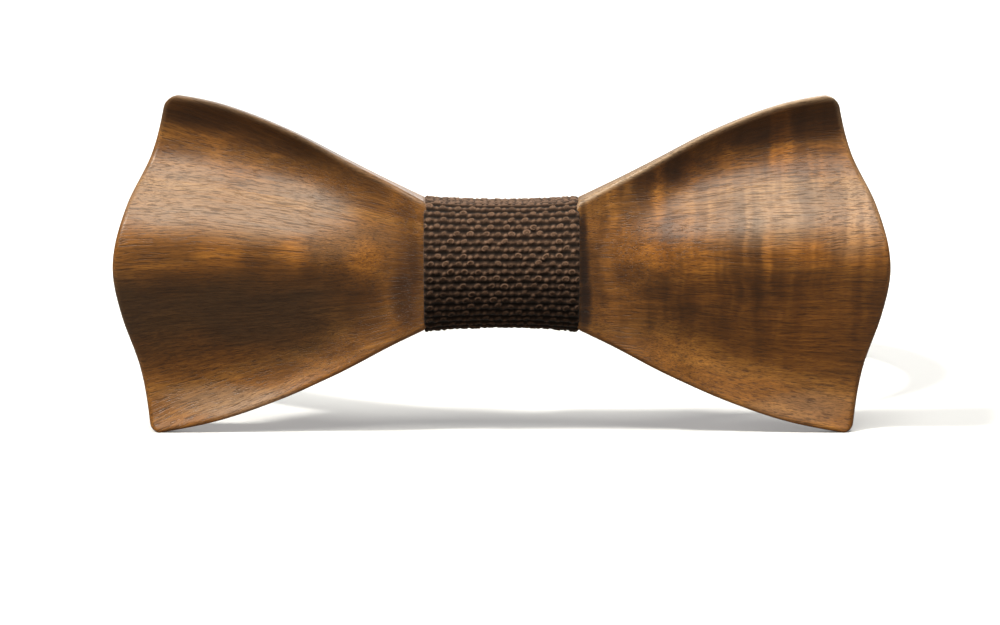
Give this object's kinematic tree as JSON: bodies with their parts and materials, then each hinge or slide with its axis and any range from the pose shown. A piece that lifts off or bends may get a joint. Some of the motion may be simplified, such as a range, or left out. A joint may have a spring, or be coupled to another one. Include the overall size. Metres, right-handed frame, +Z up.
{
  "type": "bow tie",
  "caption": "Rigid carved wooden bow with a woven cloth wrap at its waist and an adjustable neck strap closed by a hook and eye.",
  "frame": {"origin": "on the flat back face of the cloth wrap, at its mid-height and mid-length, where the bow rests against a collar", "axes": "+X along the bow to the right as seen from the front, +Y to the back, towards the neck, +Z up"},
  "size_m": [0.1252, 0.1367, 0.0531],
  "materials": {
    "walnut": "satin oiled walnut",
    "knot_cloth": "coarse basket weave",
    "strap_tape": "ribbed tape",
    "thread": "polyester sewing thread",
    "nickel": "nickel plate, lightly scuffed"
  },
  "bodies": {
    "bow": {"wood_bow": "walnut", "knot_wrap": "knot_cloth", "knot_thread": "thread"},
    "band": {"strap_front": "strap_tape"},
    "hook_arm": {"strap_hook_arm": "strap_tape", "hook_fold": "strap_tape", "hook_thread": "thread"},
    "hook": {"hook": "nickel"},
    "eye_arm": {"strap_eye_arm": "strap_tape", "strap_feed": "strap_tape"},
    "eye_carrier": {"eye_fold": "strap_tape", "adjust_loop": "strap_tape"},
    "eye": {"eye": "nickel"},
    "slider": {"slider": "nickel", "slider_fold": "strap_tape", "slider_thread": "thread"}
  },
  "joints": [
    {"name": "band_shift", "type": "slide", "parent": "bow", "child": "band", "axis": [1, 0, 0], "range_m": [-0.004, 0.004]},
    {"name": "hook_arm_open", "type": "hinge", "parent": "band", "child": "hook_arm", "pos_m": [-0.04384, 0.01078, -0.00185], "axis": [0, 0.1362, 0.9907], "range_deg": [0, 50]},
    {"name": "hook_swivel", "type": "hinge", "parent": "hook_arm", "child": "hook", "pos_m": [-0.01215, 0.11616, -0.01634], "axis": [0, 0.1362, 0.9907], "range_deg": [-30, 30]},
    {"name": "eye_arm_open", "type": "hinge", "parent": "band", "child": "eye_arm", "pos_m": [0.04384, 0.01078, -0.00185], "axis": [0, -0.1362, -0.9907], "range_deg": [0, 50]},
    {"name": "size_adjust", "type": "hinge", "parent": "eye_arm", "child": "eye_carrier", "pos_m": [0, 0.05421, -0.00783], "axis": [0, -0.1362, -0.9907], "range_deg": [0, 30], "deforming": ["strap_feed", "adjust_loop"]},
    {"name": "slider_run", "type": "hinge", "parent": "eye_carrier", "child": "slider", "pos_m": [0, 0.05421, -0.00783], "axis": [0, -0.1362, -0.9907], "range_deg": [0, 30]},
    {"name": "eye_swivel", "type": "hinge", "parent": "eye_carrier", "child": "eye", "pos_m": [0.01106, 0.11636, -0.01637], "axis": [0, 0.1362, 0.9907], "range_deg": [-30, 30]}
  ],
  "couplings": [
    {"joint": "slider_run", "follows": "size_adjust", "ratio": 1}
  ]
}
